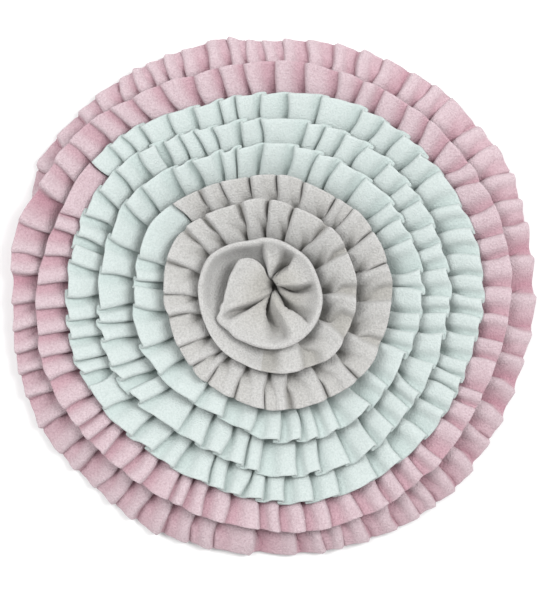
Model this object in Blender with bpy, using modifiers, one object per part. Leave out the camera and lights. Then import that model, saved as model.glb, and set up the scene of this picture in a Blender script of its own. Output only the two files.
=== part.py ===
"""Snuffle mat: three strips of pleated fleece, sewn in one long spiral to a round base cloth.

Units are metres and +Z is up. The origin is the centre of the underside, which lies on the floor.
The spiral winds clockwise and inward, seen from above. Each strip is stitched down along its inner
edge, its seam, and leans outward over the turn before it, with its outer edge free. Its knife
pleats lie over one another like tiles. The innermost cloth is plain and forms a cup with soft
lobes, the rosette.
"""

import math
import random
from collections import namedtuple

import bmesh
import bpy

MM = 0.001

# Cloth and base.
CLOTH = 1.6 * MM                # thickness of the fleece
LAYER = 1.95 * MM               # from one layer of a fold to the next, with a little air
SEAT = 1.0 * MM                 # from the base cloth to a strip's stitched edge
BASE_RADIUS = 178 * MM
BASE_THICKNESS = 2.5 * MM
BASE_SIDES = 96

# Spiral, in degrees of winding from its outer start.
SEAM_ANGLE = 150.0              # direction of winding 0, anticlockwise from +X
LAST_FOLD = 2376.5              # the cloth is plain from here to its inner end
CUP_START = 2550.0              # the first crease of the cup
DROOP = 4                       # power of the outermost turn's droop past the base cloth
THROAT_RADIUS = 5 * MM          # stitched edge of the cup
THROAT_SHIFT = 8 * MM           # of the cup's throat from the mat's centre, toward +Y

# Pleats.
FOLD_AT_SEAM = 5.1 * MM         # height of a fold over the strip's lean
FOLD_AT_MIDDLE = 6.0 * MM
FOLD_AT_EDGE = 8.5 * MM
UNDERLAP = (3.0 * MM, 7.0 * MM)  # how far a pleat runs on under the next, least and most
LIP = 1.5 * MM                  # tucked layers stand out at the free edge, and faces draw in
WIDE_PLEAT = 10.0               # degrees past which a pleat's face gets a middle column
SEED = 11

# Plain cloth and cup.
LAST_SLOPE = 60.0               # degrees over which the last pleat's face comes down
PLAIN_STEP = 10.0               # degrees between columns of plain cloth
LOBES = 5                       # in one turn of the cup
LOBE_DEPTH = 6.0 * MM

# A row for each turn, the outermost first: the free edge's radius in millimetres at each eighth
# of the turn, and the winding of each pleat's fold from the start of the turn.
Turn = namedtuple("Turn", "edge_radii folds")
TURNS = (
    Turn((205, 199, 199, 198, 195, 195, 196, 200),
         (-8, -0.5, 6.5, 13.5, 18.5, 24.5, 28, 31.5, 35.5, 39.5, 45.5, 50.5, 54.5, 58.5, 63, 68.5,
          74.5, 80.5, 85.5, 92, 97, 102, 110, 115.5, 122, 128, 133.5, 141, 149.5, 157.5, 164, 171,
          177.5, 183.5, 190.5, 196.5, 202, 206.5, 212, 219, 224.5, 229, 235.5, 245.5, 254.5, 260,
          266.5, 272.5, 278, 283, 289.5, 294.5, 301.5, 308, 313.5, 318.5, 323.5, 329.5, 336.5,
          340.5, 347, 355.5)),
    Turn((194, 177, 176, 179, 173, 177, 170, 179),
         (1.5, 7.5, 14.5, 20.5, 26, 33, 41, 47.5, 54, 61.5, 69, 77, 83, 89, 96, 103, 110, 115.5,
          120.5, 128, 135, 140.5, 148, 155, 161.5, 167, 175.5, 179.5, 186, 195, 200.5, 206.5,
          211.5, 219, 226.5, 233, 239, 244.5, 253, 259, 264.5, 268.5, 276.5, 282, 288.5, 293,
          297.5, 302.5, 310.5, 316, 321.5, 328, 334.5, 341.5, 348, 352.5)),
    Turn((172, 154, 157, 157, 154, 156, 147, 155),
         (6.5, 13, 17.5, 22.5, 30, 37, 45, 50, 57, 65, 74, 85.5, 92, 99, 106, 113.5, 123, 130.5,
          138, 144.5, 150, 156, 161.5, 169, 173.5, 178, 184.5, 193, 202, 210.5, 222, 230, 237.5,
          243.5, 249, 255.5, 260.5, 271, 278.5, 286.5, 296.5, 304.5, 308, 312.5, 319, 324.5,
          331.5, 340, 344, 347.5, 354.5)),
    Turn((155, 135, 135, 132, 131, 136, 124, 132),
         (1.5, 9, 17, 21, 24.5, 30, 35.5, 41, 50, 57, 71.5, 77, 84, 92, 101, 109.5, 116.5, 125,
          132.5, 141, 150.5, 156.5, 163.5, 173.5, 182.5, 189.5, 198, 206, 216, 225, 233, 245.5,
          251, 259, 267.5, 277, 291.5, 296, 301, 307, 316, 322.5, 328, 339, 350)),
    Turn((132, 116, 114, 113, 108, 109, 98, 105),
         (2.5, 10, 22, 30, 40, 46, 56, 68, 78, 86.5, 98.5, 111, 118.5, 127, 139.5, 147, 157.5,
          165.5, 173.5, 188.5, 200, 214, 223, 229.5, 238, 250, 265, 279, 297, 310, 326.5, 334.5,
          339, 347.5)),
    Turn((106, 93, 89, 88, 88, 84, 81, 80),
         (13, 27, 36, 50, 63, 76, 93, 102.5, 118, 134.5, 153.5, 176.5, 194.5, 213, 233, 245.5,
          263.5, 280.5, 290, 303, 320.5, 333, 351)),
    Turn((86, 76, 68, 64, 63, 58, 55, 56), (8.5, 21, 41.5, 57.5, 74, 97, 119.5, 150, 180, 216.5)),
    Turn((57, 45, 39, 36, 37, 38, 39, 42), ()),
    Turn((37, 40), ()),
)

# How the strip leans, by winding in turns: its reach from seam to free edge and the free edge's
# height, both in millimetres. Values between the rows are interpolated.
Lean = namedtuple("Lean", "turn reach height")
LEANS = (
    Lean(-0.1, 27, 2.4),
    Lean(0.06, 29, 2.4),
    Lean(0.15, 38, 2.4),
    Lean(0.8, 38, 2.4),
    Lean(0.95, 38, 20.0),
    Lean(2.0, 38, 22.0),
    Lean(3.0, 38, 24.0),
    Lean(4.0, 38, 26.0),
    Lean(5.0, 38, 29.0),
    Lean(5.85, 38, 32.0),
    Lean(6.0, 42, 33.0),
    Lean(6.15, 36, 34.0),
    Lean(6.8, 32, 38.0),
    Lean(7.0, 38, 40.0),
    Lean(7.15, 45, 40.0),
    Lean(8.2, 50, 40.0),
)

# A row for each strip: where it starts and ends in degrees of winding, its colour, and its rows
# of corners, as shares of the way from the seam to the free edge.
Strip = namedtuple("Strip", "name start end colour rows")
STRIPS = (
    Strip("ruffle_pink", -8, 725, (0.78, 0.52, 0.56), (0.0, 0.5, 1.0)),
    Strip("ruffle_mint", 725, 1812, (0.64, 0.74, 0.70), (0.0, 0.5, 1.0)),
    Strip("ruffle_grey", 1812, 2898, (0.58, 0.55, 0.54), (0.0, 0.35, 0.7, 1.0)),
)
BASE_COLOUR = (0.58, 0.55, 0.54)

# Winding of the folds that turn the other way: the pleat before each lies over the next one.
REVERSED = (1024.5, 1064, 1101, 1376, 1774.5)

# One column of a strip, from seam to free edge: the winding of its fold, how far it is tucked
# along the cloth and the degrees that limit this, its height in layers of cloth, in folds and in
# cup lobes, and how far it stands out at the free edge.
Column = namedtuple("Column", "degrees tuck room layers folds lobes lip")


def between(low, high, share):
    return low + (high - low) * share


def edge_radius(degrees):
    """Radius of the free edge, smoothly through the eighths in TURNS."""
    radii = [radius for turn in TURNS for radius in turn.edge_radii]
    place = min(max(degrees / 45, 0.0), len(radii) - 1.001)
    index = int(place)
    share = place - index
    eased = share * share * (3 - 2 * share)
    return between(radii[index], radii[index + 1], eased) * MM


def lean(degrees):
    """Reach and height of the free edge, from LEANS."""
    turn = degrees / 360
    for low, high in zip(LEANS, LEANS[1:]):
        if turn <= high.turn:
            break
    share = (turn - low.turn) / (high.turn - low.turn)
    return between(low.reach, high.reach, share) * MM, between(low.height, high.height, share) * MM


def row_radius(degrees, share):
    reach, _ = lean(degrees)
    outer = edge_radius(degrees)
    return between(max(THROAT_RADIUS, outer - reach), outer, share)


def throat_shift(degrees):
    """How far the seam has drifted off the mat's centre, from the last pleat to the cup."""
    progress = (degrees - LAST_FOLD) / (CUP_START - LAST_FOLD)
    return THROAT_SHIFT * min(max(progress, 0.0), 1.0)


def place_on_lean(degrees, share, height, lip):
    """A point of the strip: share runs from seam to free edge, and height is over the lean."""
    _, edge_height = lean(degrees)
    seam_height = BASE_THICKNESS + SEAT + CLOTH / 2
    rise = edge_height - seam_height
    slope = math.atan2(rise, row_radius(degrees, 1.0) - row_radius(degrees, 0.0))
    climb = rise * (share if rise > 0 else share ** DROOP)
    radius = row_radius(degrees, share) - math.sin(slope) * height + math.cos(slope) * lip
    level = seam_height + climb + math.cos(slope) * height + math.sin(slope) * lip
    angle = math.radians(SEAM_ANGLE - degrees)
    drift = throat_shift(degrees) * (1 - share)
    return radius * math.cos(angle), radius * math.sin(angle) + drift, level


def fold_height(share):
    """Height of a fold over the lean: it opens from the seam to the free edge."""
    if share < 0.5:
        return between(FOLD_AT_SEAM, FOLD_AT_MIDDLE, share * 2)
    return between(FOLD_AT_MIDDLE, FOLD_AT_EDGE, share * 2 - 1)


def lobe_height(share):
    """Height of a cup lobe over the lean: most a third of the way up, and none at either edge."""
    return LOBE_DEPTH * 6.75 * share * (1 - share) ** 2


def corner_place(column, share):
    """Where a column's corner lies. A tuck is cut short where three layers would not fit."""
    radius = row_radius(column.degrees, share)
    width = max(0.0, math.radians(column.room) * radius - 2 * CLOTH)
    most = width * (1 - 2 * LAYER / fold_height(share))
    tuck = math.copysign(min(abs(column.tuck), most), column.tuck)
    height = (column.layers * LAYER + column.folds * fold_height(share)
              + column.lobes * lobe_height(share))
    degrees = column.degrees + math.degrees(tuck / radius)
    return place_on_lean(degrees, share, height, column.lip * share)


def fold_places():
    """Winding of each pleat's upper fold, in degrees, along the whole spiral."""
    return [360 * number + fold for number, turn in enumerate(TURNS) for fold in turn.folds]


def fold_columns(before, fold, after, underlap, over):
    """The two tucked columns and the two upper ones where a pleat meets the next.

    The pleat before runs on under the next one or, where over is true, lies over it.
    """
    room = min(fold - before, after - fold)
    tuck = -underlap if over else underlap
    columns = [
        Column(fold, tuck, room, layers=0, folds=0, lobes=0, lip=LIP),
        Column(fold, tuck, room, layers=1, folds=0, lobes=0, lip=LIP),
        Column(fold, 0.0, 0.0, layers=-1, folds=1, lobes=0, lip=-LIP),
        Column(fold, 0.0, 0.0, layers=0, folds=1, lobes=0, lip=-LIP),
    ]
    return columns[::-1] if over else columns


def pleat_columns(start, end):
    """All columns of the pleats that start between two windings."""
    chance = random.Random(SEED)
    places = fold_places()
    columns = []
    for before, fold, after in zip(places, places[1:], places[2:] + [LAST_FOLD + LAST_SLOPE]):
        underlap = chance.uniform(*UNDERLAP)
        if before < start:
            continue
        if not columns:
            columns.append(Column(before, 0.0, 0.0, layers=0, folds=1, lobes=0, lip=-LIP))
        folded = fold_columns(before, fold, after, underlap, fold in REVERSED)
        if fold - before > WIDE_PLEAT:
            ends = zip(columns[-1], folded[0])
            columns.append(Column(*((left + right) / 2 for left, right in ends)))
        if fold >= end:
            columns.append(folded[0])
            break
        columns += folded
    return columns


def plain_columns(last_fold, end):
    """Columns of the plain cloth: the last pleat's long slope, then the cup with its lobes."""
    columns = []
    count = round((end - last_fold) / PLAIN_STEP)
    for step in range(1, count + 1):
        degrees = between(last_fold, end, step / count)
        slope = max(0.0, 1 - (degrees - last_fold) / LAST_SLOPE)
        phase = math.radians(max(0.0, degrees - CUP_START)) * LOBES
        lobe = (1 - math.cos(phase)) / 2
        columns.append(Column(degrees, 0.0, 0.0, layers=0, folds=slope, lobes=lobe, lip=0.0))
    return columns


def fleece(name, colour):
    material = bpy.data.materials.new(name)
    material.use_nodes = True
    shader = material.node_tree.nodes["Principled BSDF"]
    shader.inputs["Base Color"].default_value = (*colour, 1.0)
    shader.inputs["Roughness"].default_value = 0.95
    shader.inputs["Metallic"].default_value = 0.0
    return material


def add_piece(name, shape, colour, collection):
    mesh = bpy.data.meshes.new(name)
    shape.to_mesh(mesh)
    shape.free()
    mesh.materials.append(fleece(name + "_fleece", colour))
    piece = bpy.data.objects.new(name, mesh)
    collection.objects.link(piece)
    return piece


def add_base(collection):
    """The round base cloth, flat on the floor."""
    shape = bmesh.new()
    bmesh.ops.create_cone(shape, cap_ends=True, segments=BASE_SIDES, radius1=BASE_RADIUS,
                          radius2=BASE_RADIUS, depth=BASE_THICKNESS)
    base = add_piece("base_cloth", shape, BASE_COLOUR, collection)
    base.location.z = BASE_THICKNESS / 2


def add_strip(strip, collection):
    """A strip as one grid, folded along its columns and given the cloth's thickness."""
    columns = pleat_columns(strip.start, strip.end)
    if strip.end > LAST_FOLD:
        columns += plain_columns(columns[-1].degrees, strip.end)
    across = len(columns) - 1
    along = len(strip.rows) - 1
    shape = bmesh.new()
    bmesh.ops.create_grid(shape, x_segments=across, y_segments=along, size=0.5)
    for corner in shape.verts:
        column = columns[round((corner.co.x + 0.5) * across)]
        share = strip.rows[round((corner.co.y + 0.5) * along)]
        corner.co = corner_place(column, share)
    piece = add_piece(strip.name, shape, strip.colour, collection)
    wall = piece.modifiers.new("Cloth", "SOLIDIFY")
    wall.thickness = CLOTH
    wall.offset = 0.0
    wall.use_even_offset = True


def main():
    for old in list(bpy.data.objects):
        bpy.data.objects.remove(old)
    collection = bpy.data.collections.new("snuffle_mat")
    bpy.context.scene.collection.children.link(collection)
    add_base(collection)
    for strip in STRIPS:
        add_strip(strip, collection)


main()
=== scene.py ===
"""Dresses a snuffle mat in fleece: a round base cloth, three pleated ruffles and their seam.

The ruffles are one long spiral, wound clockwise and inward from the rim. Each is stitched down
along its inner edge and leans outward over the turn before it, and its innermost plain cloth
makes the rosette, a soft cup. Lengths are metres and +Z is up. The floor is at z = 0.
"""

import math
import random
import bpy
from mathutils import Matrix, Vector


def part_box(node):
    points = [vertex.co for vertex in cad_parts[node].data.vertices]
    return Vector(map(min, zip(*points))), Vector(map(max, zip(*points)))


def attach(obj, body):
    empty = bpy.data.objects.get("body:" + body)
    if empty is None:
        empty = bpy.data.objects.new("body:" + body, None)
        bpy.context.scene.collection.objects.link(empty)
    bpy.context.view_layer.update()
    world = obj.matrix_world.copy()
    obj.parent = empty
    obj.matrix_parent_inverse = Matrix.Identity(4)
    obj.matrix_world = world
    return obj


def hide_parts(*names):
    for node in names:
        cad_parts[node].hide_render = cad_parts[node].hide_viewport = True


bl_info = {
    "name": "Snuffle mat",
    "version": (1, 0, 0),
    "blender": (4, 5, 0),
    "location": "3D View > Sidebar > Snuffle mat",
    "description": "Makes the fleece ruffles, base cloth and stitches of a round snuffle mat",
    "category": "Add Mesh",
}

from collections import namedtuple

import bmesh
import bpy
from bpy.props import FloatProperty, FloatVectorProperty, IntProperty, PointerProperty
from mathutils import Matrix, Vector, noise

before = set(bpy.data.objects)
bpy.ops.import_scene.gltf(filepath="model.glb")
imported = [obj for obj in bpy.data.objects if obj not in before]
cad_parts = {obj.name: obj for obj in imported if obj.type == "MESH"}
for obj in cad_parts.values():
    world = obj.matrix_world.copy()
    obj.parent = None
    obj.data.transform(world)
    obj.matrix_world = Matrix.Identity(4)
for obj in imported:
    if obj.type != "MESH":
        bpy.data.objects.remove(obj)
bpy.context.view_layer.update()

MM = 0.001
DEG = math.pi / 180

# The spiral, in degrees of winding from its outer start. These are the solids' own sizes.
SEAM_ANGLE = 150.0              # direction of winding 0, anticlockwise from +X
LAST_FOLD = 2376.5              # the cloth is plain from here to its inner end
CUP_START = 2550.0              # the first crease of the cup
SEAM_LEVEL = 4.3 * MM           # middle of the cloth's thickness along the seam
THROAT_RADIUS = 5 * MM          # least radius of the seam, up to the cup
PINCHED_THROAT = 2.0 * MM       # radius to which the innermost cloth is pinched at the seam
THROAT_SHIFT = 8 * MM           # of the cup's throat from the mat's centre, toward +Y
DROOP = 4                       # power of the outermost turn's droop past the base cloth
SLANT = 1.38                    # from a fold's slant where it shows to that of the whole ruffle
LAST_SLOPE = 32.0               # degrees over which the last pleat's face comes down
START_TAPER = 1.2               # millimetres a degree by which the outer start draws in

# A row for each turn: the free edge's radius in millimetres at even steps of the turn, and its
# pleats. A pleat has the winding of its fold from the turn's start, how far the fold slants on
# clockwise toward the free edge, in millimetres, where its face drops to the next crease, in
# tenths of its width, and its height in tenths of the usual one.
Turn = namedtuple("Turn", "edge_radii pleats")
TURNS = (
    Turn((205, 202, 200, 199.5, 194, 197, 200, 201, 202.5, 198, 197, 195, 195, 198, 196.5, 195,
          193.5, 194, 197, 196.5, 200.5, 198, 196, 199.5), (
        (-8, 0, 8, 10), (-0.5, 0, 6, 10), (6.5, 2, 7, 10), (13.5, 1, 7, 12), (18.5, 2, 7, 11),
        (24.5, 4, 8, 11), (28, 4, 8, 13), (31.5, 0, 8, 10), (35.5, 4, 8, 10), (39.5, 2, 6, 8),
        (45.5, 3, 7, 9), (50.5, 0, 8, 8), (54.5, -2, 8, 8), (58.5, -6, 8, 8), (63, -3, 6, 8),
        (68.5, -4, 6, 8), (74.5, 0, 6, 9), (80.5, -2, 7, 11), (85.5, 2, 5, 10), (92, 2, 7, 12),
        (97, 3, 8, 13), (102, 0, 7, 11), (110, 3, 8, 14), (115.5, 3, 8, 11), (122, 5, 6, 12),
        (128, 4, 6, 11), (133.5, 3, 4, 10), (141, 2, 4, 9), (149.5, 2, 5, 9), (157.5, 4, 6, 10),
        (164, 2, 4, 9), (171, 2, 4, 8), (177.5, 4, 7, 11), (183.5, 3, 5, 10), (190.5, 4, 6, 12),
        (196.5, 4, 6, 12), (202, 2, 7, 15), (206.5, 0, 6, 13), (212, 2, 6, 10), (219, -2, 8, 14),
        (224.5, 0, 7, 14), (229, -4, 5, 10), (235.5, -2, 5, 9), (245.5, 0, 9, 12),
        (254.5, 0, 7, 14), (260, 0, 6, 12), (266.5, 0, 6, 13), (272.5, 0, 7, 14), (278, -1, 8, 14),
        (283, 0, 6, 13), (289.5, -2, 7, 13), (294.5, -2, 7, 10), (301.5, -2, 6, 11),
        (308, 3, 6, 12), (313.5, 0, 6, 13), (318.5, -2, 6, 12), (323.5, -4, 6, 13),
        (329.5, -4, 4, 11), (336.5, 0, 7, 13), (340.5, -1, 6, 11), (347, 4, 4, 9),
        (355.5, 4, 8, 12))),
    Turn((194, 177, 176, 179, 173, 177, 170, 179), (
        (1.5, 6, 8, 10), (7.5, 1, 6, 8), (14.5, 2, 8, 10), (20.5, -4, 8, 12), (26, -4, 8, 11),
        (33, -5, 7, 10), (41, -3, 8, 10), (47.5, -2, 8, 11), (54, -5, 6, 9), (61.5, -1, 7, 11),
        (69, -4, 8, 10), (77, 0, 8, 12), (83, 0, 7, 12), (89, -4, 8, 11), (96, -2, 8, 11),
        (103, -5, 7, 12), (110, -7, 8, 12), (115.5, 3, 8, 12), (120.5, 2, 8, 12), (128, -2, 8, 11),
        (135, 0, 8, 12), (140.5, -3, 8, 11), (148, 0, 7, 9), (155, -2, 4, 9), (161.5, 0, 8, 9),
        (167, 0, 9, 10), (175.5, -2, 7, 10), (179.5, -2, 8, 9), (186, -3, 6, 10), (195, -2, 6, 12),
        (200.5, 0, 6, 13), (206.5, 0, 8, 14), (211.5, -2, 6, 12), (219, -6, 6, 10),
        (226.5, -2, 7, 13), (233, -2, 7, 14), (239, 0, 6, 14), (244.5, -7, 7, 14), (253, -2, 7, 14),
        (259, 0, 7, 14), (264.5, 0, 7, 14), (268.5, 0, 8, 11), (276.5, 0, 7, 14), (282, 0, 7, 12),
        (288.5, -6, 8, 12), (293, 0, 8, 14), (297.5, -1, 8, 15), (302.5, -2, 7, 10),
        (310.5, -2, 8, 10), (316, 1, 7, 11), (321.5, 0, 6, 11), (328, -2, 6, 12),
        (334.5, -6, 6, 11), (341.5, 0, 5, 12), (348, 6, 8, 15), (352.5, 0, 12, 9))),
    Turn((172, 154, 157, 157, 154, 156, 147, 155), (
        (6.5, 0, 9, 9), (13, 4, 8, 8), (17.5, 0, 8, 8), (22.5, 2, 9, 10), (30, 3, 8, 9),
        (37, 4, 9, 10), (45, 1, 8, 10), (50, 0, 8, 10), (57, 1, 8, 8), (65, -2, 9, 13),
        (74, 0, 9, 9), (85.5, 4, 8, 10), (92, 4, 8, 10), (99, 0, 8, 10), (106, 2, 8, 14),
        (113.5, 1, 7, 9), (123, 7, 5, 8), (130.5, 7, 6, 10), (138, 5, 8, 10), (144.5, 5, 7, 8),
        (150, 4, 6, 8), (156, 2, 7, 8), (161.5, -2, 7, 9), (169, -2, 8, 10), (173.5, 0, 8, 9),
        (178, -4, 8, 11), (184.5, -4, 4, 10), (193, -6, 5, 8), (202, 2, 7, 11), (210.5, 1, 9, 13),
        (222, 0, 8, 11), (230, 0, 7, 13), (237.5, 1, 8, 12), (243.5, 2, 8, 13), (249, 6, 7, 14),
        (255.5, 0, 8, 13), (260.5, -2, 6, 11), (271, 4, 6, 14), (278.5, 5, 8, 12), (286.5, 0, 7, 9),
        (296.5, 6, 8, 7), (304.5, 0, 7, 9), (308, 6, 8, 10), (312.5, 4, 7, 10), (319, 2, 7, 10),
        (324.5, -3, 7, 10), (331.5, -4, 8, 12), (340, 2, 7, 10), (344, 6, 4, 10), (347.5, 2, 6, 10),
        (354.5, 2, 8, 10))),
    Turn((155, 135, 135, 132, 131, 136, 124, 132), (
        (1.5, 5, 9, 10), (9, 7, 6, 10), (17, 6, 7, 10), (21, 6, 4, 12), (24.5, 7, 8, 11),
        (30, 5, 8, 8), (35.5, -4, 8, 8), (41, 0, 8, 11), (50, 0, 9, 13), (57, -2, 9, 11),
        (71.5, 2, 8, 10), (77, 4, 8, 11), (84, 3, 8, 10), (92, 4, 8, 9), (101, 2, 8, 11),
        (109.5, 2, 8, 10), (116.5, 2, 8, 9), (125, 3, 8, 10), (132.5, -1, 6, 9), (141, 0, 6, 9),
        (150.5, 0, 6, 8), (156.5, -4, 8, 8), (163.5, -6, 8, 11), (173.5, -4, 8, 9),
        (182.5, 7, 6, 14), (189.5, 0, 7, 10), (198, -2, 8, 10), (206, -1, 8, 15), (216, -1, 9, 9),
        (225, 4, 7, 11), (233, 4, 6, 9), (245.5, 2, 8, 11), (251, 1, 7, 14), (259, 0, 8, 14),
        (267.5, -4, 8, 13), (277, -2, 9, 8), (291.5, 7, 7, 10), (296, 7, 4, 7), (301, 6, 8, 10),
        (307, 2, 8, 9), (316, 1, 8, 8), (322.5, 2, 7, 8), (328, -6, 8, 10), (339, -2, 8, 10),
        (350, 4, 8, 9))),
    Turn((132, 116, 114, 113, 108, 109, 98, 105), (
        (2.5, 7, 8, 11), (10, 7, 7, 10), (22, 6, 7, 12), (30, 2, 8, 14), (40, 7, 8, 9),
        (46, 6, 8, 10), (56, 7, 8, 14), (68, 3, 9, 12), (78, 6, 8, 10), (86.5, 1, 8, 12),
        (98.5, 0, 8, 10), (111, 2, 8, 10), (118.5, 0, 8, 9), (127, 0, 4, 8), (139.5, 1, 8, 9),
        (147, 7, 9, 8), (157.5, -2, 8, 11), (165.5, -5, 7, 11), (173.5, -2, 9, 15),
        (188.5, 0, 4, 9), (200, -7, 8, 15), (214, 0, 6, 10), (223, 0, 7, 8), (229.5, 0, 6, 11),
        (238, 2, 6, 12), (250, 4, 5, 10), (265, -1, 8, 14), (279, -4, 8, 11), (297, -2, 8, 9),
        (310, -2, 8, 10), (326.5, 6, 7, 10), (334.5, 6, 4, 9), (339, -4, 6, 9),
        (347.5, 2, 12, 11))),
    Turn((106, 93, 89, 88, 88, 84, 81, 80), (
        (13, 1, 7, 13), (27, 3, 8, 14), (36, 2, 8, 15), (50, 2, 8, 15), (63, 0, 8, 14),
        (76, 0, 9, 10), (93, 4, 8, 13), (102.5, 0, 8, 11), (118, -4, 9, 11), (134.5, -1, 4, 9),
        (153.5, -3, 7, 12), (176.5, 2, 8, 12), (194.5, 7, 8, 15), (213, 0, 7, 13), (233, 7, 8, 15),
        (245.5, 1, 8, 13), (263.5, 1, 8, 8), (280.5, 2, 7, 7), (290, 7, 8, 12), (303, 2, 8, 12),
        (320.5, 3, 8, 9), (333, 1, 8, 10), (351, 1, 8, 10))),
    Turn((85, 75, 67, 63, 61.5, 57, 54.5, 55.5), (
        (8.5, 6, 7, 8), (21, 0, 8, 12), (41.5, 7, 8, 15), (57.5, 5, 8, 15), (74, 2, 8, 11),
        (97, 6, 7, 13), (119.5, 2, 7, 10), (150, 2, 4, 9), (180, 4, 6, 10), (216.5, 7, 7, 3))),
    Turn((57, 45, 39, 36, 37, 38, 39, 42), ()),
    Turn((37, 40, 40, 40, 40, 40, 40, 40), ()),
)

# The cup's rim, by winding: its radius and level in millimetres.
Rim = namedtuple("Rim", "degrees radius level")
RIMS = (
    Rim(2460, 55.5, 39.0),
    Rim(2520, 57.0, 40.0),
    Rim(2565, 45.5, 40.5),
    Rim(2610, 39.5, 40.5),
    Rim(2655, 36.3, 40.5),
    Rim(2700, 37.2, 40.5),
    Rim(2745, 38.3, 40.0),
    Rim(2790, 38.8, 39.0),
    Rim(2812, 41.5, 38.5),
    Rim(2830, 45.5, 37.5),
    Rim(2838, 41.0, 36.5),
    Rim(2848, 36.8, 35.5),
    Rim(2864, 35.6, 34.5),
    Rim(2882, 36.8, 33.5),
    Rim(2898, 38.9, 32.5),
)

# The creases of the cup, clockwise round its throat, each with the lobe that follows it: the
# crease's direction in degrees anticlockwise from +X at each CREASE_STEP out from the throat,
# how full the lobe is, from 0 on a steep wall to 1, and the shares of its width over which it
# rises from its own crease and falls to the next one.
CREASE_STEP = 5 * MM
Lobe = namedtuple("Lobe", "directions crown rise fall")
LOBES = (
    Lobe((110, 110, 112, 112, 111, 109, 107, 105, 105), 0.95, 0.12, 0.6),
    Lobe((88, 88, 80, 61, 54, 57, 60, 62, 62), 1.25, 0.14, 0.2),
    Lobe((40, 40, -12, -17, -10, -5, -1, 2, 2), 0.6, 0.25, 0.4),
    Lobe((-55, -55, -60, -61, -60, -55, -48, -45, -45), 1.3, 0.12, 0.4),
    Lobe((-115, -115, -118, -114, -107, -96, -86, -80, -80), 0.95, 0.35, 0.16),
    Lobe((-122, -124, -127, -131, -136, -141, -145, -148, -150), 1.2, 0.05, 0.04),
    Lobe((-260,) * 9, 0.0, 0.1, 0.1),
)
CREASE_FILL = -0.55             # fullness in a crease, where -1 would be a crease's section
CREASE_BANK = 9.0               # degrees over which the cloth sinks into the first crease
LOBES_GROW = (2530, 2560)       # windings between which the lobes come in

# Sections of the cup, by share of the way from throat to rim: how far in from the rim and how
# far down from it the cloth lies, as shares of the whole way, on a steep wall, in a crease and
# on a lobe.
Section = namedtuple("Section", "share wall_in wall_down crease_in crease_down lobe_in lobe_down")
SECTIONS = (
    Section(0.00, 1.00, 1.00, 1.00, 1.00, 1.00, 1.00),
    Section(0.14, 0.90, 0.86, 0.96, 0.96, 0.975, 0.60),
    Section(0.28, 0.76, 0.77, 0.86, 0.86, 0.90, 0.38),
    Section(0.42, 0.58, 0.71, 0.65, 0.90, 0.71, 0.28),
    Section(0.55, 0.42, 0.62, 0.48, 0.80, 0.57, 0.24),
    Section(0.65, 0.29, 0.52, 0.33, 0.63, 0.43, 0.23),
    Section(0.73, 0.18, 0.37, 0.21, 0.46, 0.29, 0.19),
    Section(0.81, 0.125, 0.15, 0.13, 0.22, 0.16, 0.09),
    Section(0.88, 0.085, 0.02, 0.085, 0.02, 0.085, 0.02),
    Section(0.94, 0.045, -0.02, 0.045, -0.02, 0.045, -0.02),
    Section(1.00, 0.0, 0.03, 0.0, 0.03, 0.0, 0.03),
)
END_SLANT = 18.0                # degrees by which the cloth's end runs on half way down
END_GROWS = (2835, 2898)        # windings between which it comes to that
SLIT = 3 * MM                   # how far the throat is drawn out to a slit, to each side
SOFTNESS = 2.6 * MM             # how far the cup's plain cloth swells and sinks
SWELL_RATE = 55                 # of the noise by which it swells, to the metre
SWELL_END = 0.85                # share of the way to the rim past which it is even
PLAIN_COLUMNS = 320             # columns of mesh in the plain cloth

# The groove after the last pleat: its depth in millimetres, the share of the way to the free
# edge from which it fades, and the degrees over which it ends.
GROOVE = 4.0
GROOVE_FADES = 0.75
GROOVE_SPAN = 26.0

# Painted shade on the cup's cloth, as if down in a crease: the degrees over which it comes in, and
# the shares of the way to the rim between which it fades.
SHADE_SPAN = 60.0
SHADE_FADES = (0.4, 0.9)

# The dimple of the cloth's end: its winding and share, its depth in millimetres, and how far it
# spreads in degrees and in shares.
Dimple = namedtuple("Dimple", "degrees share depth wide_degrees wide_share")
DIMPLE = Dimple(2842.0, 0.30, 3.5, 9.0, 0.05)

# How a ruffle leans, by winding in turns: its reach from seam to free edge, the free edge's
# level and how far it humps half way, in millimetres, and how much it bends over as it rises,
# where 1 is straight.
Lean = namedtuple("Lean", "turn reach level hump bend")
LEANS = (
    Lean(-0.1, 27, 2.4, 2.0, 1.0),
    Lean(0.06, 29, 2.4, 4.0, 1.0),
    Lean(0.15, 38, 2.4, 5.0, 1.0),
    Lean(0.8, 38, 2.4, 5.0, 1.0),
    Lean(0.95, 38, 22.0, 0.0, 1.2),
    Lean(2.0, 38, 23.5, 0.0, 1.35),
    Lean(3.0, 38, 25.0, 0.0, 1.35),
    Lean(4.0, 38, 27.0, 0.0, 1.35),
    Lean(5.0, 38, 28.5, 0.0, 1.4),
    Lean(5.85, 38, 30.0, 0.0, 1.5),
    Lean(6.0, 42, 31.0, 0.0, 1.5),
    Lean(6.15, 36, 31.5, 0.0, 1.5),
    Lean(6.6, 32, 34.0, 0.0, 1.5),
    Lean(6.75, 32, 37.5, 0.0, 1.5),
    Lean(7.0, 38, 40.0, 0.0, 1.0),
    Lean(7.15, 45, 40.0, 0.0, 1.0),
    Lean(8.2, 50, 40.0, 0.0, 1.0),
)

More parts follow.
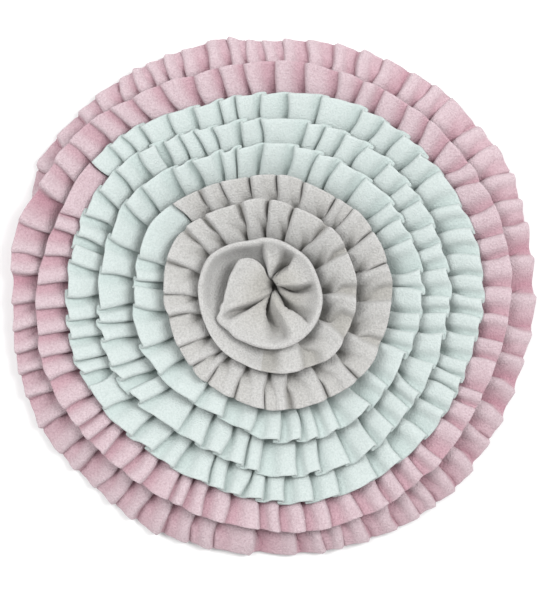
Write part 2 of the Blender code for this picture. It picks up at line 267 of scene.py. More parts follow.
# How the pleats look, by winding in turns: how high a fold stands half way to the free edge and
# at it, over what share of its width a face drops, how far the folds stand out past the creases
# at the free edge, how much of the lean they follow there, and how far the folds have opened
# there into waves. The lengths are in millimetres.
Look = namedtuple("Look", "turn middle height spread stand_out follow opened")
LOOKS = (
    Look(-0.1, 8.5, 6.2, 0.28, 0.7, 0.1, 0.65),
    Look(0.9, 8.5, 6.2, 0.28, 0.7, 0.1, 0.65),
    Look(1.1, 8.0, 6.6, 0.28, 0.3, 0.4, 0.35),
    Look(1.9, 8.0, 6.6, 0.28, 0.3, 0.4, 0.35),
    Look(2.1, 7.0, 5.9, 0.20, -1.0, 0.4, 0.2),
    Look(4.9, 7.0, 5.9, 0.20, -1.0, 0.4, 0.25),
    Look(5.1, 9.5, 9.5, 0.12, 0.3, 0.3, 0.85),
    Look(5.9, 9.5, 9.5, 0.12, 0.3, 0.3, 0.85),
    Look(6.1, 9.5, 9.5, 0.16, 0.3, 0.2, 1.0),
    Look(8.2, 9.5, 9.5, 0.16, 0.3, 0.2, 1.0),
)

# Winding of the folds that turn the other way: the pleat before each lies over the next one.
REVERSED = (1024.5, 1064, 1101, 1376, 1774.5)
# Where the noise is read for each coordinate of a moved point.
NOISE_OFFSETS = (Vector((0.0, 0.0, 0.0)), Vector((17.3, 5.7, 11.1)), Vector((3.9, 29.4, 7.6)))
SLOW_RATE = 22                  # of the noise that moves layers together, to the metre
QUICK_RATE = 75                 # of the finer noise that is added to it
QUICK_PLACE = Vector((7, 3, 5))  # and where that is read
QUICK_SHARE = 0.28              # and its amount, where the slow noise's is 1
LEAST_LEVEL = 1.15 * MM         # of the cloth's middle over the floor
SEED = 11

# A pleat's face and its folds. The shares are of the face's width or of the way to the free edge.
DROP_LEAD = 0.09                # share of its width by which a face falls before it looks dark
EVEN_FALL = 0.3                 # how much of a face's fall is even over its width
OWN_HEIGHT = 0.7                # how much of its own height a fold has at the free edge
HELD_SHARE = 0.72               # where a slanted fold keeps its own winding
SLANT_GROWS = 0.45              # over what share a fold comes to its slant
LEAST_TUCK = 0.1                # share of its room over which a pleat runs on at least
TUCK_LAYERS = 2.15              # thicknesses of cloth that a tuck needs under a fold
LOW_TURN = 0.54                 # radius of the turn at a tuck's end, in thicknesses of cloth
HIGH_TURN = 2.2                 # radii of its upper turn that a fold has room for at least
HIGHEST = 1.2                   # height over the folds' past which they stand out no further
OPENS = (0.3, 0.8)              # shares between which the folds open into waves
FOLLOWS = (0.3, 1)              # shares between which they come to follow the lean less

# A wave at the free edge, in shares of its width.
WAVE_BRINK = 0.85               # where it starts to fall at the latest
WAVE_LEAD = 0.85                # how far before that, as a share of its spread
WAVE_LAG = 0.06                 # and how far after
WAVE_RISE = 0.88                # from where it rises to the next fold
WAVE_SAG = 0.3                  # how far it sinks evenly up to its brink

# Rows of a ruffle's grid, as shares of the way from seam to free edge, and the rosette's.
ROWS = (0.0, 0.2, 0.36, 0.49, 0.59, 0.67, 0.74, 0.8, 0.855, 0.91, 0.95, 0.975, 0.99, 1.0)
ROSETTE_ROWS = (0.0, 0.07, 0.14, 0.21, 0.28, 0.35, 0.42, 0.49, 0.55, 0.6, 0.65, 0.69, 0.73, 0.77,
                0.81, 0.85, 0.89, 0.93, 0.96, 0.98, 0.99, 1.0)
RIM_SHARE = 0.025               # share of the ruffle's width over which its cut edge is rounded
RIM_THINNEST = 0.35             # thickness of the cut edge, as a share of the cloth's
# Attribute for painted shade: 0 down in a crease or deep in the cup, where the fleece's colour is
# darkened, and 1 on top of a fold, where it is not.
UNSHADED = "unshaded"               # attribute: 0 down in a crease and 1 on top of a fold

# The base cloth and the stitches under it.
BASE_SIDES = 160
BASE_ROUNDING = 0.7 * MM
THREAD = 1 * MM                 # thickness of a stitch, half of it below the base cloth
THREAD_WIDTH = 0.6              # half a stitch's width, as a share of its thickness
STITCH_PITCH = 1.35             # from one stitch to the next, as a share of its length

# The studio: each softbox with its place and power, their size, the light from all round, and
# the camera's place over the floor and its scale.
SOFTBOXES = (
    ("softbox_right", (1.25, 0.45, 1.9), 42),
    ("softbox_left", (-1.25, 0.5, 1.9), 31),
)
SOFTBOX_SIZE = (0.9, 1.6)
AMBIENT = 0.60
FLOOR_SIZE = 6
EYE = (-0.0004, -0.0015)
PIXELS_PER_MM = 1.32            # on the floor, in a render of RENDER_HEIGHT pixels
RENDER_HEIGHT = 600
SENSOR = 36                     # the camera's sensor in millimetres

# Where each ruffle starts and ends in degrees of winding.
Ruffle = namedtuple("Ruffle", "node start end rows")
PINK = Ruffle("ruffle_pink", -8, 726.1, ROWS)
MINT = Ruffle("ruffle_mint", 726.5, 1812.7, ROWS)
GREY = Ruffle("ruffle_grey", 1813, 2898, ROSETTE_ROWS)


class FleeceSettings(bpy.types.PropertyGroup):
    """The fleece: its thickness, colours and pile."""

    thickness: FloatProperty(
        name="Thickness", description="Thickness of the fleece with its pile",
        default=1.9 * MM, min=1 * MM, max=4 * MM, precision=4, unit="LENGTH")
    pink: FloatVectorProperty(
        name="Pink", description="Colour of the outer ruffle",
        default=(0.59, 0.465, 0.50), min=0, max=1, subtype="COLOR")
    mint: FloatVectorProperty(
        name="Mint", description="Colour of the middle ruffle",
        default=(0.53, 0.59, 0.577), min=0, max=1, subtype="COLOR")
    grey: FloatVectorProperty(
        name="Grey", description="Colour of the rosette and the base cloth",
        default=(0.53, 0.525, 0.513), min=0, max=1, subtype="COLOR")
    pile: FloatProperty(
        name="Pile", description="Size of the pile's tufts",
        default=1.4 * MM, min=0.4 * MM, max=4 * MM, precision=4, unit="LENGTH")
    thread: FloatVectorProperty(
        name="Thread", description="Colour of the sewing thread",
        default=(0.82, 0.81, 0.78), min=0, max=1, subtype="COLOR")
    stitch: FloatProperty(
        name="Stitch", description="Length of a stitch under the base cloth",
        default=4 * MM, min=2 * MM, max=8 * MM, precision=4, unit="LENGTH")


class PleatSettings(bpy.types.PropertyGroup):
    """The knife pleats of the ruffles."""

    at_seam: FloatProperty(
        name="Height at seam", description="How high a fold stands at the stitched edge",
        default=4.9 * MM, min=2 * MM, max=10 * MM, precision=4, unit="LENGTH")
    wobble: FloatProperty(
        name="Wobble", description="How far the ruffles stray from an even winding",
        default=1.4 * MM, min=0, max=5 * MM, precision=4, unit="LENGTH")
    steps: IntProperty(
        name="Steps", description="Columns of mesh along one pleat's face",
        default=10, min=4, max=16)


class StageSettings(bpy.types.PropertyGroup):
    """The floor, light and camera."""

    floor: FloatVectorProperty(
        name="Floor", description="Colour of the floor",
        default=(0.93, 0.93, 0.93), min=0, max=1, subtype="COLOR")
    distance: FloatProperty(
        name="Camera distance", description="Height of the camera over the floor",
        default=2.2, min=0.5, max=10, unit="LENGTH")


def between(low, high, share):
    return low + (high - low) * share


def clamp(value):
    return min(max(value, 0.0), 1.0)


def ease(low, high, value):
    """0 below low and 1 above high, smoothly in between."""
    share = clamp((value - low) / (high - low))
    return share * share * (3 - 2 * share)


def drift(point):
    """Noise as a vector, which is the same at each run."""
    return Vector([noise.noise(point + offset) for offset in NOISE_OFFSETS])


def rows_around(rows, value):
    """The two rows of a table whose first column a value lies between."""
    for low, high in zip(rows, rows[1:]):
        if value <= high[0]:
            break
    return low, high


def blended(low, high, share):
    """A row between two rows of a table."""
    return low._make(between(a, b, share) for a, b in zip(low, high))


def from_rows(rows, degrees):
    """A row of LEANS or LOOKS at a winding in degrees."""
    turn = degrees / 360
    low, high = rows_around(rows, turn)
    return blended(low, high, (turn - low.turn) / (high.turn - low.turn))


def cup_progress(degrees):
    """0 up to the last fold and 1 from the cup's start."""
    return clamp((degrees - LAST_FOLD) / (CUP_START - LAST_FOLD))


def edge_radius(degrees):
    """Radius of the free edge, smoothly through those in TURNS."""
    number = min(max(int(degrees // 360), 0), len(TURNS) - 2)
    radii = TURNS[number].edge_radii + TURNS[number + 1].edge_radii[:2]
    place = max(degrees / 360 - number, 0.0) * len(TURNS[number].edge_radii)
    if place > len(radii) - 1:
        place, radii = place - len(radii) + 2, TURNS[number + 1].edge_radii
    index = int(place)
    radius = between(radii[index], radii[index + 1], ease(0, 1, place - index))
    return (radius + START_TAPER * min(degrees, 0.0)) * MM


def row_radius(degrees, share):
    reach = from_rows(LEANS, degrees).reach * MM
    outer = edge_radius(degrees)
    return between(max(THROAT_RADIUS, outer - reach), outer, share)


def row_level(degrees, share):
    """Level of the cloth's middle on its lean, flat on the base at the seam."""
    lean = from_rows(LEANS, degrees)
    rise = lean.level * MM - SEAM_LEVEL
    arch = SEAM_LEVEL + lean.hump * MM * 4 * share * (1 - share)
    if rise < 0:
        return arch + rise * max(share, 0.0) ** DROOP
    return arch + rise * (1 - math.copysign(abs(1 - share) ** lean.bend, 1 - share))


def place_on_lean(degrees, share, height, lip):
    """A point of a ruffle: height is over its lean, and lip is on past its free edge."""
    step = 0.02
    run = row_radius(degrees, share + step) - row_radius(degrees, share - step)
    climb = row_level(degrees, share + step) - row_level(degrees, share - step)
    slope = math.atan2(climb, run)
    slope *= between(1, from_rows(LOOKS, degrees).follow, ease(*FOLLOWS, share))
    radius = row_radius(degrees, share) - math.sin(slope) * height + math.cos(slope) * lip
    level = row_level(degrees, share) + math.cos(slope) * height + math.sin(slope) * lip
    angle = (SEAM_ANGLE - degrees) * DEG
    shift = THROAT_SHIFT * cup_progress(degrees) * (1 - share)
    return Vector((radius * math.cos(angle), radius * math.sin(angle) + shift, level))


def cup_fill(x, y, degrees):
    """How full the cup's cloth is: CREASE_FILL in a crease, 0 on a plain wall, 1 on a lobe."""
    across, along = x, y - THROAT_SHIFT
    direction = math.atan2(along, across) / DEG
    expected = SEAM_ANGLE + 360 * 7 - degrees
    direction += 360 * round((expected - direction) / 360)
    place = min(math.hypot(across, along) / CREASE_STEP, len(LOBES[0].directions) - 1.01)
    index = int(place)
    edges = [between(*lobe.directions[index:index + 2], place - index) for lobe in LOBES]
    if direction >= edges[0]:
        return CREASE_FILL * (1 - ease(0, CREASE_BANK, direction - edges[0]))
    for lobe, first, second in zip(LOBES, edges, edges[1:]):
        if direction >= second:
            along = (first - direction) / max(first - second, 1.0)
            top = ease(0, lobe.rise, along) * ease(0, lobe.fall, 1 - along)
            return between(CREASE_FILL, lobe.crown, top)
    return 0.0


def cup_point(degrees, share):
    """A point of the plain cloth of the cup, whose lobes and creases meet in its throat."""
    low, high = rows_around(RIMS, degrees)
    rim = blended(low, high, ease(low.degrees, high.degrees, degrees))
    radius = rim.radius * MM
    low, high = rows_around(SECTIONS, share)
    section = blended(low, high, clamp((share - low.share) / (high.share - low.share)))
    wall, crease, lobe = section[1:3], section[3:5], section[5:]
    reach = from_rows(LEANS, degrees).reach * MM
    seam = max(PINCHED_THROAT, radius - reach)
    turned = degrees
    turned += END_SLANT * ease(*END_GROWS, degrees) * math.sin(math.pi * share ** 1.2)
    angle = (SEAM_ANGLE - turned) * DEG
    progress = cup_progress(degrees)

    def place(inward):
        out = between(radius, seam, inward)
        drawn = THROAT_SHIFT + SLIT * math.sin(angle) * inward ** 4
        return (out * math.cos(angle), out * math.sin(angle) + drawn * progress * inward)

    fill = cup_fill(*place(section.wall_in), turned) * ease(*LOBES_GROW, degrees)
    inward, down = (between(a, b if fill > 0 else c, abs(fill))
                    for a, b, c in zip(wall, lobe, crease))
    dimple = math.exp(-((degrees - DIMPLE.degrees) / DIMPLE.wide_degrees) ** 2
                      - ((share - DIMPLE.share) / DIMPLE.wide_share) ** 2)
    height = between(rim.level * MM, SEAM_LEVEL, down) - dimple * DIMPLE.depth * MM
    point = Vector((*place(inward), height))
    swell = drift(point * SWELL_RATE) * math.sin(math.pi * min(share / SWELL_END, 1.0))
    return point + swell * SOFTNESS * progress


# A fold: its winding, how far the pleat before it runs on under it, whether that pleat lies over
# it instead, its slant, where the next face drops, its height, the radius of its upper turn at
# the free edge, how far it bows and its face billows, how far it reaches and its face bulges past
# the free edge, and how much it stands out there.
Fold = namedtuple("Fold", "degrees underlap over slant drop height opening bow billow reach "
                          "bulge curl")


def folds_of_spiral():
    """Every pleat's upper fold, in order, and one past the last that only ends its face."""
    chance = random.Random(SEED)
    folds = []
    for number, turn in enumerate(TURNS):
        for winding, slant, drop, height in turn.pleats:
            degrees = number * 360 + winding
            folds.append(Fold(degrees, chance.uniform(3, 7) * MM, degrees in REVERSED,
                              slant * SLANT * MM, drop / 10, height / 10,
                              chance.uniform(0.8, 1.3) * MM, chance.uniform(-1.6, 1.6) * MM,
                              chance.uniform(-0.5, 1.1) * MM, chance.uniform(-0.8, 0.8) * MM,
                              chance.uniform(-0.2, 1.2) * MM * (-0.7 if number < 1 else 1),
                              chance.uniform(0.4, 2.2)))
    last = folds[-1]
    return folds + [last._replace(degrees=last.degrees + LAST_SLOPE, underlap=0.0, slant=0.0,
                                  bow=0.0, billow=0.0, reach=0.0, bulge=0.0)]


def fold_height(pleats, fold, share):
    look = from_rows(LOOKS, fold.degrees)
    if share < 0.5:
        return between(pleats.at_seam, look.middle * MM, share * 2)
    edge = look.height * MM * between(1, fold.height, OWN_HEIGHT)
    return between(look.middle * MM, edge, share * 2 - 1)


def fold_shift(fold, share):
    """How far a slanted, bowed fold lies from its winding, which holds where it shows most."""
    lean = fold.slant * (share - HELD_SHARE) * min(share / SLANT_GROWS, 1.0)
    return lean + fold.bow * math.sin(share * 2 * math.pi + fold.billow / MM) * min(share * 2, 1)


def tucked(fleece, fold, before, after, height, share):
    """How far a pleat runs on under the next, cut short where three layers would not fit."""
    radius = row_radius(fold.degrees, share)
    room = min(fold.degrees - before.degrees, after.degrees - fold.degrees) * DEG * radius
    room = max(0.0, room - 2 * fleece.thickness)
    most = room * max(LEAST_TUCK, 1 - TUCK_LAYERS * fleece.thickness / height)
    return min(fold.underlap, most)


def pleat_width(before, fold, share):
    """Width of a pleat's face in a row, between folds that neither slant nor bow."""
    return (fold.degrees - before.degrees) * DEG * row_radius(fold.degrees, share)


def face_width(before, fold, share):
    """Width of a pleat's face in a row, between its folds as they lie."""
    return (pleat_width(before, fold, share)
            + (fold_shift(fold, share) - fold_shift(before, share)))


def groove_depth(share):
    """Depth in metres of the groove after the last pleat, which has none at either edge."""
    return GROOVE * MM * (share * (1 - ease(GROOVE_FADES, 1, share)))


def turned_under(turns, rising):
    """The cloth round a pleat's two turns and between them, as (distance, height).

    A turn has the distance and height of its middle, its radius and the side it goes round.
    """
    arc = [(step / 4 - 0.5) * math.pi for step in range(5)]
    first, second = (
        [(middle + side * size * math.cos(a), level + rising * size * math.sin(a)) for a in arc]
        for middle, level, size, side in turns)
    straight = [tuple(between(a, b, step) for a, b in zip(first[-1], second[0]))
                for step in (0.25, 0.5, 0.75)]
    return first[1:] + straight + second


def wave_path(before, width, heights, spread, count):
    """A pleat's cloth in a row once it has opened into a wave, as count (distance, height)."""
    brink = min(before.drop, WAVE_BRINK)
    path = []
    for number in range(count):
        along = number / (count - 1)
        rise = ease(WAVE_RISE, 1, along)
        fall = ease(brink - WAVE_LEAD * spread, brink + WAVE_LAG, along) - rise
        fall = between(fall, 1, WAVE_SAG * min(along / brink, 1) * (1 - rise))
        path.append((along * width, between(*heights, along) * (1 - fall)))
    return path


def pleat_path(pleats, fleece, four, share):
    """One pleat's cloth in a row, as (distance, height) from its own fold to the next one.

    It runs down its face, turns under the next fold, and comes back and up to that fold's top.
    """
    earlier, before, fold, after = four
    width = face_width(before, fold, share)
    height_before = fold_height(pleats, before, share)
    height = fold_height(pleats, fold, share)
    tuck = tucked(fleece, fold, before, after, height, share)
    low = fleece.thickness * LOW_TURN
    high = min(between(low, fold.opening, share ** 2), (height - 2 * low) / HIGH_TURN)
    look = from_rows(LOOKS, fold.degrees)
    start, start_height = 0.0, height_before
    if before.over:
        start = -tucked(fleece, before, earlier, fold, height_before, share)
        start_height = 0.0
    end, end_height = (width, height) if fold.over else (width + tuck, 0.0)
    if before.degrees == LAST_FOLD:
        end_height = -groove_depth(share)
    path = []
    for step in range(pleats.steps + 1):
        along = between(start, end, step / pleats.steps)
        drop = before.drop - DROP_LEAD
        fall = ease(drop - look.spread, drop + look.spread, along / width)
        fall = between(fall, clamp(along / width), EVEN_FALL)
        billow = fold.billow * share * math.sin(math.pi * step / pleats.steps)
        path.append((along, between(start_height, end_height, fall) + billow * (1 - fall)))
    if fold.over:
        path[-1] = (end, end_height)
        turns = [(width, height - high, high, 1), (width - tuck, low, low, -1)]
    else:
        path[-1] = (end, min(end_height, 0.0))
        turns = [(width + tuck, low, low, 1), (width, height - high, high, -1)]
    path += turned_under(turns, -1 if fold.over else 1)
    opened = look.opened * ease(*OPENS, share)
    if not opened or fold is after:
        return path
    wave = wave_path(before, width, (height_before, height), look.spread, len(path))
    return [(between(a, c, opened), between(b, d, opened)) for (a, b), (c, d) in zip(path, wave)]


def stray(point, amount):
    """A point moved a little, by slow noise that keeps touching layers together."""
    slow = drift(point * SLOW_RATE)
    quick = drift(point * QUICK_RATE + QUICK_PLACE)
    moved = point + slow * amount + quick * amount * QUICK_SHARE
    moved.z = max(moved.z, LEAST_LEVEL)
    return moved


def lip_at(before, fold, degrees, share, passed, rise):
    """How far a point of a pleat's cloth lies out past the ruffle's even free edge.

    Passed is its share of the pleat's width, and rise its height as a share of the folds'.
    """
    stand_out = from_rows(LOOKS, degrees).stand_out * MM
    stand_out *= between(before.curl, fold.curl, passed)
    lip = stand_out * share * (2 * min(rise, HIGHEST) - 1)
    lip += between(before.reach, fold.reach, passed) * share ** 2
    return lip + fold.bulge * math.sin(math.pi * passed) * share ** 3


def ruffle_rows(pleats, fleece, ruffle):
    """The ruffle's pleated cloth as rows of points, from seam to free edge."""
    folds = folds_of_spiral()
    rows = [[] for _ in ruffle.rows]
    for four in zip([folds[0]] + folds, folds, folds[1:], folds[2:] + [folds[-1]]):
        before, fold = four[1:3]
        if before.degrees < ruffle.start:
            continue
        last = fold.degrees >= min(ruffle.end, folds[-1].degrees)
        for row, share in zip(rows, ruffle.rows):
            path = pleat_path(pleats, fleece, four, share)
            if last:
                path = path[:pleats.steps + (fold is folds[-1])]
                kept = (ruffle.end - before.degrees) / (fold.degrees - before.degrees)
                kept = min(kept, 1.0) * face_width(before, fold, share) / path[-1][0]
                path = [(distance * kept, height) for distance, height in path]
            if row:
                path = path[1:]
            radius = row_radius(fold.degrees, share)
            tops = (fold_height(pleats, before, share) + fold_height(pleats, fold, share)) / 2
            width = pleat_width(before, fold, share)
            for distance, height in path:
                degrees = before.degrees + (fold_shift(before, share) + distance) / radius / DEG
                passed = clamp(distance / width)
                lip = lip_at(before, fold, degrees, share, passed, height / tops)
                if fold is folds[-1]:
                    lip *= 1 - passed
                # The second value is for painted shade: the cloth's height as a share of the folds'
                # tops, low down in a crease.
                row.append((place_on_lean(degrees, share, height, lip), height / tops))
        if last:
            break
    return rows


# How a piece's fleece looks: how much painted shade darkens its colour down in creases, and how
# rough its pile is.
Fleece = namedtuple("Fleece", "depth grain")
PINK_FLEECE = Fleece(0.9, 1.4)
MINT_FLEECE = Fleece(0.3, 0.9)
GREY_FLEECE = Fleece(1.0, 1.5)


def new_material(name, roughness):
    """A material with nodes, and its shader."""
    material = bpy.data.materials.new(name)
    material.use_nodes = True
    shader = material.node_tree.nodes["Principled BSDF"]
    shader.inputs["Roughness"].default_value = roughness
    return material, shader


def mixed(tree, first, second, share, blend="MIX"):
    """Two colours mixed by a share, each of them a value or another node's output."""
    mix = tree.nodes.new("ShaderNodeMix")
    mix.data_type = "RGBA"
    mix.blend_type = blend
    for socket, value in (("Factor", share), ("A", first), ("B", second)):
        if isinstance(value, bpy.types.NodeSocket):
            tree.links.new(value, mix.inputs[socket])
        else:
            mix.inputs[socket].default_value = value if socket == "Factor" else (*value, 1)
    return mix.outputs["Result"]


def fleece_material(name, colour, fleece, look):
    """Soft fleece: a short matted pile, a little uneven in colour, with painted shade that darkens
    it down in creases.
    """
    material, shader = new_material(name, 0.95)
    tree = material.node_tree
    shader.inputs["Sheen Weight"].default_value = 0.25
    shader.inputs["Sheen Roughness"].default_value = 0.5
    shader.inputs["Sheen Tint"].default_value = (1, 1, 1, 1)
    shader.inputs["Specular IOR Level"].default_value = 0.15
    place = tree.nodes.new("ShaderNodeTexCoord")

    def speckle(size, detail, roughness):
        cloud = tree.nodes.new("ShaderNodeTexNoise")
        cloud.inputs["Scale"].default_value = 1 / size
        cloud.inputs["Detail"].default_value = detail
        cloud.inputs["Roughness"].default_value = roughness
        tree.links.new(place.outputs["Object"], cloud.inputs["Vector"])
        return cloud.outputs["Fac"]

    tufts = speckle(fleece.pile, 3, 0.65)
    patches = speckle(14 * MM, 2, 0.5)
    ramp = tree.nodes.new("ShaderNodeMapRange")
    ramp.inputs["From Min"].default_value = 0.35
    ramp.inputs["From Max"].default_value = 0.65
    tree.links.new(tufts, ramp.inputs["Value"])
    pits = tuple(between(c, c ** 1.3 * 0.9, look.grain) for c in colour)
    tips = tuple(between(c, 1, 0.12 * look.grain) for c in colour)
    worn = tuple(c * 0.95 for c in colour)
    grain = mixed(tree, pits, tips, ramp.outputs["Result"])
    pile = mixed(tree, grain, mixed(tree, worn, colour, patches), 0.5)
    # Painted shade: the colour is darkened and deepened where the shade attribute is low, down in
    # creases and in the cup.
    unshaded = tree.nodes.new("ShaderNodeAttribute")
    unshaded.attribute_name = UNSHADED
    crease = tree.nodes.new("ShaderNodeMapRange")
    tree.links.new(unshaded.outputs["Fac"], crease.inputs["Value"])
    shade = tuple(between(1, (c / max(colour)) ** 1.8 * 0.80, look.depth) for c in colour)
    shading = mixed(tree, shade, (1, 1, 1), crease.outputs["Result"])
    tree.links.new(mixed(tree, pile, shading, 1.0, "MULTIPLY"), shader.inputs["Base Color"])
    bump = tree.nodes.new("ShaderNodeBump")
    bump.inputs["Strength"].default_value = 1.0
    bump.inputs["Distance"].default_value = look.grain * MM
    tree.links.new(tufts, bump.inputs["Height"])
    tree.links.new(bump.outputs["Normal"], shader.inputs["Normal"])
    return material


def thread_material(name, colour):
    """Smooth sewing thread, with painted shade between its twists."""
    material, shader = new_material(name, 0.55)
    tree = material.node_tree
    place = tree.nodes.new("ShaderNodeTexCoord")
    twist = tree.nodes.new("ShaderNodeTexWave")
    twist.bands_direction = "DIAGONAL"
    twist.inputs["Scale"].default_value = 0.3 / MM
    twist.inputs["Distortion"].default_value = 1.0
    tree.links.new(place.outputs["Object"], twist.inputs["Vector"])
    # Painted shade: darker between the twists.
    shaded_twists = mixed(tree, tuple(c * 0.7 for c in colour), colour, twist.outputs["Fac"])
    tree.links.new(shaded_twists, shader.inputs["Base Color"])
    return material


def add_object(name, shape):
    mesh = bpy.data.meshes.new(name)
    shape.to_mesh(mesh)
    shape.free()
    piece = bpy.data.objects.new(name, mesh)
    bpy.context.scene.collection.objects.link(piece)
    for face in mesh.polygons:
        face.use_smooth = True
    return piece


def grid_from(rows):
    """A grid of cloth whose corners take the places in rows, each with its share for painted shade.
    """
    across = len(rows[0]) - 1
    along = len(rows) - 1
    shape = bmesh.new()
    unshaded = shape.verts.layers.float.new(UNSHADED)
    bmesh.ops.create_grid(shape, x_segments=across, y_segments=along, size=0.5)
    for corner in shape.verts:
        column = round((corner.co.x + 0.5) * across)
        row = round((corner.co.y + 0.5) * along)
        corner.co, corner[unshaded] = rows[row][column]
    return shape


def add_plain_cloth(rows, ruffle):
    """Runs the rows on from the last pleat into the cup."""
    last = LAST_FOLD + LAST_SLOPE
    rim, full_rim = (row.degrees for row in RIMS[:2])
    for row, share in zip(rows, ruffle.rows):
        for step in range(1, PLAIN_COLUMNS + 1):
            degrees = between(last, ruffle.end, step / PLAIN_COLUMNS)
            sunk = groove_depth(share) * (1 - ease(0, GROOVE_SPAN, degrees - last))
            point = place_on_lean(degrees, share, -sunk, 0.0)
            if degrees >= rim:
                point = point.lerp(cup_point(degrees, share), ease(rim, full_rim, degrees))
            # Painted shade in the cup: full near the throat, fading out toward the rim.
            cup_shade = ease(CUP_START, CUP_START + SHADE_SPAN, degrees)
            row.append((point, 1 - cup_shade * (1 - ease(*SHADE_FADES, share))))


def add_ruffle(context, ruffle, name, colour, look):
    """A ruffle of fleece in place of its solid."""
    fleece = context.scene.snuffle_fleece
    pleats = context.scene.snuffle_pleats
    rows = ruffle_rows(pleats, fleece, ruffle)
    if ruffle.end > LAST_FOLD:
        add_plain_cloth(rows, ruffle)
    rows = [[(stray(point, pleats.wobble), unshaded) for point, unshaded in row] for row in rows]
    piece = add_object(name, grid_from(rows))
    body = piece.vertex_groups.new(name="cloth_thickness")
    per_row = len(rows[0])
    for row, share in enumerate(ruffle.rows):
        weight = min(1.0, (1 - share) / RIM_SHARE) ** 0.5
        body.add(list(range(row * per_row, (row + 1) * per_row)), weight, "REPLACE")
    # The cut edge gets a paler copy of the fleece: a painted highlight, as where its rounded pile
    # catches the light.
    painted_edge_highlight = tuple(between(c, 1, 0.1) for c in colour)
    for finish, tint in (("_fleece", colour), ("_cut_edge_highlight", painted_edge_highlight)):
        piece.data.materials.append(fleece_material(name + finish, tint, fleece, look))
    wall = piece.modifiers.new("Cloth", "SOLIDIFY")
    wall.thickness = fleece.thickness
    wall.offset = 0.0
    wall.vertex_group = body.name
    wall.thickness_vertex_group = RIM_THINNEST
    wall.material_offset_rim = 1
    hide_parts(ruffle.node)
    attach(piece, "root")
    return piece


class SNUFFLE_OT_base(bpy.types.Operator):
    """Adds the round base cloth"""

    bl_idname = "snuffle.base"
    bl_label = "Base cloth"

    def execute(self, context):
        fleece = context.scene.snuffle_fleece
        low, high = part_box("base_cloth")
        shape = bmesh.new()
        bmesh.ops.create_circle(shape, cap_ends=True, segments=BASE_SIDES,
                                 radius=high.x)
        for corner in shape.verts:
            corner.co.z = low.z + THREAD / 2
        grown = bmesh.ops.extrude_face_region(shape, geom=shape.faces[:])
        top = [item for item in grown["geom"] if isinstance(item, bmesh.types.BMVert)]
        bmesh.ops.translate(shape, verts=top, vec=(0, 0, high.z - low.z - THREAD / 2))
        rims = [edge for edge in shape.edges if abs(edge.calc_face_angle()) > 1]
        bmesh.ops.bevel(shape, geom=rims, offset=BASE_ROUNDING, segments=3, profile=0.5,
                        affect="EDGES", material=-1)
        bmesh.ops.recalc_face_normals(shape, faces=shape.faces[:])
        piece = add_object("base_fleece", shape)
        # Its mesh has no shade attribute, so the painted crease shade darkens the whole base cloth.
        piece.data.materials.append(
            fleece_material("base_fleece", tuple(fleece.grey), fleece, GREY_FLEECE))
        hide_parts("base_cloth")
        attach(piece, "root")
        return {"FINISHED"}


class SNUFFLE_OT_stitches(bpy.types.Operator):
    """Adds the stitches of the ruffles' seam, under the base cloth"""

    bl_idname = "snuffle.stitches"
    bl_label = "Stitches"

    def execute(self, context):
        fleece = context.scene.snuffle_fleece
        shape = bmesh.new()
        degrees = PINK.start + 1.0
        while degrees < CUP_START:
            radius = row_radius(degrees, 0)
            angle = (SEAM_ANGLE - degrees) * DEG
            place = Vector((radius * math.cos(angle), radius * math.sin(angle), THREAD / 2))
            turn = Matrix.Rotation(angle + math.pi / 2, 4, "Z")
            size = Matrix.Diagonal((fleece.stitch / 2, THREAD * THREAD_WIDTH, THREAD / 2, 1))
            bmesh.ops.create_icosphere(shape, subdivisions=1, radius=1,
                                       matrix=Matrix.Translation(place) @ turn @ size)
            degrees += fleece.stitch * STITCH_PITCH / radius / DEG
        piece = add_object("seam_stitches", shape)
        piece.data.materials.append(thread_material("sewing_thread", tuple(fleece.thread)))
        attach(piece, "root")
        return {"FINISHED"}


class SNUFFLE_OT_pink(bpy.types.Operator):
    """Adds the outer ruffle"""

    bl_idname = "snuffle.pink"
    bl_label = "Pink ruffle"

    def execute(self, context):
        add_ruffle(context, PINK, "pink_ruffle",
                   tuple(context.scene.snuffle_fleece.pink), PINK_FLEECE)
        return {"FINISHED"}


class SNUFFLE_OT_mint(bpy.types.Operator):
    """Adds the middle ruffle"""

    bl_idname = "snuffle.mint"
    bl_label = "Mint ruffle"

    def execute(self, context):
        add_ruffle(context, MINT, "mint_ruffle",
                   tuple(context.scene.snuffle_fleece.mint), MINT_FLEECE)
        return {"FINISHED"}


class SNUFFLE_OT_grey(bpy.types.Operator):
    """Adds the inner ruffle with its rosette"""

    bl_idname = "snuffle.grey"
    bl_label = "Grey rosette"

    def execute(self, context):
        add_ruffle(context, GREY, "grey_rosette",
                   tuple(context.scene.snuffle_fleece.grey), GREY_FLEECE)
        return {"FINISHED"}


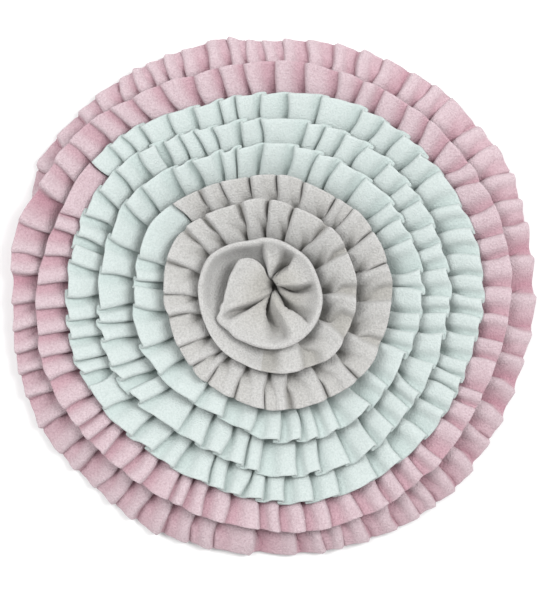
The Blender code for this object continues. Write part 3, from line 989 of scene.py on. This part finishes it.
class SNUFFLE_OT_stage(bpy.types.Operator):
    """Adds the floor, the two softboxes and the camera"""

    bl_idname = "snuffle.stage"
    bl_label = "Stage"

    def execute(self, context):
        settings = context.scene.snuffle_stage
        scene = context.scene
        shape = bmesh.new()
        bmesh.ops.create_grid(shape, x_segments=1, y_segments=1, size=FLOOR_SIZE)
        floor = add_object("floor", shape)
        paint, shader = new_material("floor", 0.9)
        shader.inputs["Base Color"].default_value = (*settings.floor, 1)
        floor.data.materials.append(paint)

        for name, place, power in SOFTBOXES:
            light = bpy.data.lights.new(name, "AREA")
            light.shape = "RECTANGLE"
            light.size, light.size_y = SOFTBOX_SIZE
            light.energy = power
            lamp = bpy.data.objects.new(name, light)
            lamp.location = place
            lamp.rotation_mode = "QUATERNION"
            lamp.rotation_quaternion = lamp.location.to_track_quat("Z", "Y")
            scene.collection.objects.link(lamp)
        world = bpy.data.worlds.new("studio")
        world.use_nodes = True
        background = world.node_tree.nodes["Background"]
        background.inputs["Color"].default_value = (1, 1, 1, 1)
        background.inputs["Strength"].default_value = AMBIENT
        scene.world = world
        scene.view_settings.view_transform = "Standard"

        camera = bpy.data.cameras.new("camera")
        camera.lens = settings.distance * PIXELS_PER_MM * 1000 * SENSOR / RENDER_HEIGHT
        camera.clip_end = 20
        eye = bpy.data.objects.new("camera", camera)
        eye.location = (*EYE, settings.distance)
        scene.collection.objects.link(eye)
        scene.camera = eye
        return {"FINISHED"}


class SNUFFLE_PT_panel(bpy.types.Panel):
    """Lists the mat's pieces"""

    bl_idname = "SNUFFLE_PT_panel"
    bl_label = "Snuffle mat"
    bl_space_type = "VIEW_3D"
    bl_region_type = "UI"
    bl_category = "Snuffle mat"

    def draw(self, context):
        for operator in OPERATORS:
            self.layout.operator(operator.bl_idname)


OPERATORS = (SNUFFLE_OT_stitches, SNUFFLE_OT_base, SNUFFLE_OT_pink, SNUFFLE_OT_mint,
             SNUFFLE_OT_grey, SNUFFLE_OT_stage)
CLASSES = (FleeceSettings, PleatSettings, StageSettings, *OPERATORS, SNUFFLE_PT_panel)


def register():
    for kind in CLASSES:
        bpy.utils.register_class(kind)
    bpy.types.Scene.snuffle_fleece = PointerProperty(type=FleeceSettings)
    bpy.types.Scene.snuffle_pleats = PointerProperty(type=PleatSettings)
    bpy.types.Scene.snuffle_stage = PointerProperty(type=StageSettings)


def unregister():
    for name in ("snuffle_fleece", "snuffle_pleats", "snuffle_stage"):
        delattr(bpy.types.Scene, name)
    for kind in reversed(CLASSES):
        bpy.utils.unregister_class(kind)


def main():
    register()
    bpy.ops.snuffle.stitches()
    bpy.ops.snuffle.base()
    bpy.ops.snuffle.pink()
    bpy.ops.snuffle.mint()
    bpy.ops.snuffle.grey()
    bpy.ops.snuffle.stage()


if __name__ == "__main__":
    main()
